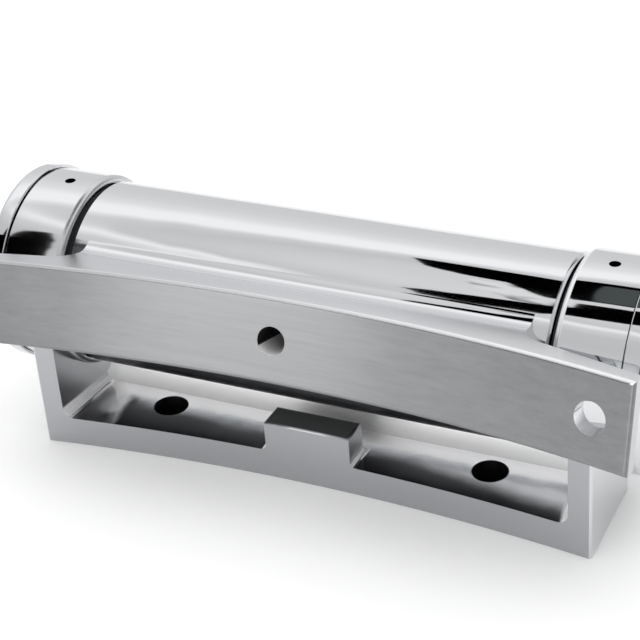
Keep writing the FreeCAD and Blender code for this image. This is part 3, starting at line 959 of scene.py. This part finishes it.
paper = Finish("pale_floor", Base_Color=(0.93, 0.93, 0.93, 1), Roughness=0.9,
               Emission_Color=(1, 1, 1, 1), Emission_Strength=0.08)
lay_sheet("floor", (0, 0, -0.2 * MM), (6, 6), paper)
# A painted shadow: a black strip where the shade under the foot falls.
lay_sheet("painted_shadow_under_foot", (0, 4 * MM, -0.1 * MM), (0.17, 0.028), dark_finish("shadow_card"))
print("laid the floor")

# %% [markdown]
# The world is the light tent. A picture of a studio could be wrapped round
# the scene, but a few lines do it too, and each can be tuned. The tent's
# brightness changes with height, and differs behind and in front: dull at
# the horizon, brightest in a ring above half height, a little darker
# overhead. Low in front there is one brighter patch, which lights the
# middle of the hollow face. Far to the right there is a dark doorway, which
# shows only from the side and from behind, and gives the chrome there
# something dark to mirror.


# %% The light tent
class Tent(Nodes):
    """The world's node tree."""

    def __init__(self, name):
        self.world = bpy.data.worlds.new(name)
        self.world.use_nodes = True
        self.tree = self.world.node_tree
        self.background = self.tree.nodes["Background"]


tent = Tent("light_tent")
bpy.context.scene.world = tent.world
way = tent.node("ShaderNodeTexCoord", {}, {}, "Generated")
height = tent.part(way, "Z")
back_light = tent.ramp(height, [(0.0, 0.60), (0.34, 0.66), (0.5, 0.71), (0.64, 0.8),
                                (0.74, 0.97), (0.81, 0.97), (0.845, 0.68), (0.88, 0.60),
                                (0.92, 0.68), (1.0, 0.70)])
front_light = tent.ramp(height, [(0.0, 0.55), (0.3, 0.68), (0.5, 0.60), (0.64, 0.56),
                                 (0.76, 0.58), (0.815, 0.68), (0.845, 0.94), (0.865, 0.62),
                                 (0.92, 0.72), (1.0, 0.70)])
at_back = tent.fade(tent.part(way, "Y"), -0.15, 0.15)
round_light = tent.blend(at_back, front_light, back_light)

toward_patch = tent.vector("DOT_PRODUCT", way, (-0.375, -0.922, 0.1), output="Value")
patch = tent.fade(toward_patch, 0.96, 0.995)
doorway_height = tent.ramp(height, [(0.1, 0.0), (0.17, 1.0), (0.38, 0.9), (0.52, 0.0)])
doorway = tent.fade(tent.part(way, "X"), 0.3, 0.55) * doorway_height
glow = (round_light + patch * 2.0) * (1.0 - doorway * 0.85)
tent.tree.links.new(glow.socket, tent.background.inputs["Color"])
tent.background.inputs["Strength"].default_value = 1.28
bpy.context.scene.view_settings.view_transform = "Standard"
print("hung the tent")

# %% [markdown]
# Two lamps help the tent. A large one overhead whitens the paper. A small
# one, low in front, looks into the pockets, whose blasted walls would else
# be too dark. Mirrors don't show them, because a square lamp in the chrome
# would give the studio away.


# %% Two lamps
def area_lamp(name, size, energy, place, target, spread=180):
    """Add a square lamp that mirrors don't show."""
    data = bpy.data.lights.new(name, "AREA")
    data.shape = "SQUARE"
    data.size, data.energy, data.spread = size, energy, math.radians(spread)
    lamp = add_object(name, data)
    turn = (Vector(place) - Vector(target)).to_track_quat("Z", "Y").to_matrix().to_4x4()
    lamp.matrix_world = Matrix.Translation(place) @ turn
    lamp.visible_glossy = False


area_lamp("paper_light", 2.0, 12, (0, -0.3, 1.6), (0, -0.3, 0))
area_lamp("low_light", 0.5, 0.4, (0, -0.9, 0.05), (0, 0, 0.015), spread=40)
print("lit two lamps")

# %% [markdown]
# The streaks are black cards a metre overhead, seen only in reflections:
# their outlines are traced back from the streaks' edges. A grey panel in
# front of one gives the paler window in the right knuckle. Behind the two
# streaks on the barrel hangs a crumpled sheet, whose picture is the soft
# swirl between them.

# %% Finishes of the cards
black = dark_finish("black_card")
grey = dark_finish("grey_card")
grey.shader.inputs["Emission Color"].default_value = (0.09, 0.1, 0.1, 1)
grey.shader.inputs["Emission Strength"].default_value = 1.0
crumple = dark_finish("crumpled_card")
folds = crumple.noise(14, 2, (1, 0.45, 1), 0.6)
crumple.drive("Emission Color", crumple.ramp(folds, [(0.36, 0.22), (0.56, 1.0)]))
crumple.shader.inputs["Emission Strength"].default_value = 1.0
print("made", [f.material.name for f in (black, grey, crumple)])


# %% Hang the cards
def overhead_card(name, corners, finish, height=1.07):
    """Hang a flat card over the hinge, seen only in reflections."""
    work = bmesh.new()
    work.faces.new([work.verts.new((x, y, height)) for x, y in corners])
    card = staged(work, name, finish)
    card.visible_camera = False
    card.visible_diffuse = False
    card.visible_shadow = False
    print("hung", name)


overhead_card("roof_card", [(-0.385, 0.46), (-0.345, 0.28), (-0.303, 0.20), (-0.267, 0.18),
                            (-0.236, 0.08), (-0.216, -0.02), (0.45, -0.02), (0.45, 0.5)],
              black)
overhead_card("roof_panel", [(-0.196, 0.39), (-0.184, 0.0), (0.45, 0.0), (0.45, 0.39)],
              grey, 1.068)
overhead_card("front_card", [(-0.37, -0.33), (-0.30, -0.25), (-0.25, -0.22), (-0.215, -0.19),
                             (-0.205, -0.09), (0.45, -0.09), (0.45, -0.38), (-0.35, -0.38)],
              black)
overhead_card("crumpled_sheet", [(-0.29, 0.12), (-0.285, -0.05), (-0.26, -0.2),
                                 (-0.225, -0.2), (-0.212, -0.05), (-0.212, 0.02),
                                 (-0.25, 0.15)],
              crumple, 1.075)
overhead_card("left_card", [(-0.735, -0.455), (-0.785, -0.66), (-0.885, -0.925),
                            (-1.04, -1.265), (-1.48, -2.2), (-2.7, -3.4), (-2.7, -0.85),
                            (-0.93, -0.80), (-0.86, -0.66), (-0.79, -0.52)],
              black)
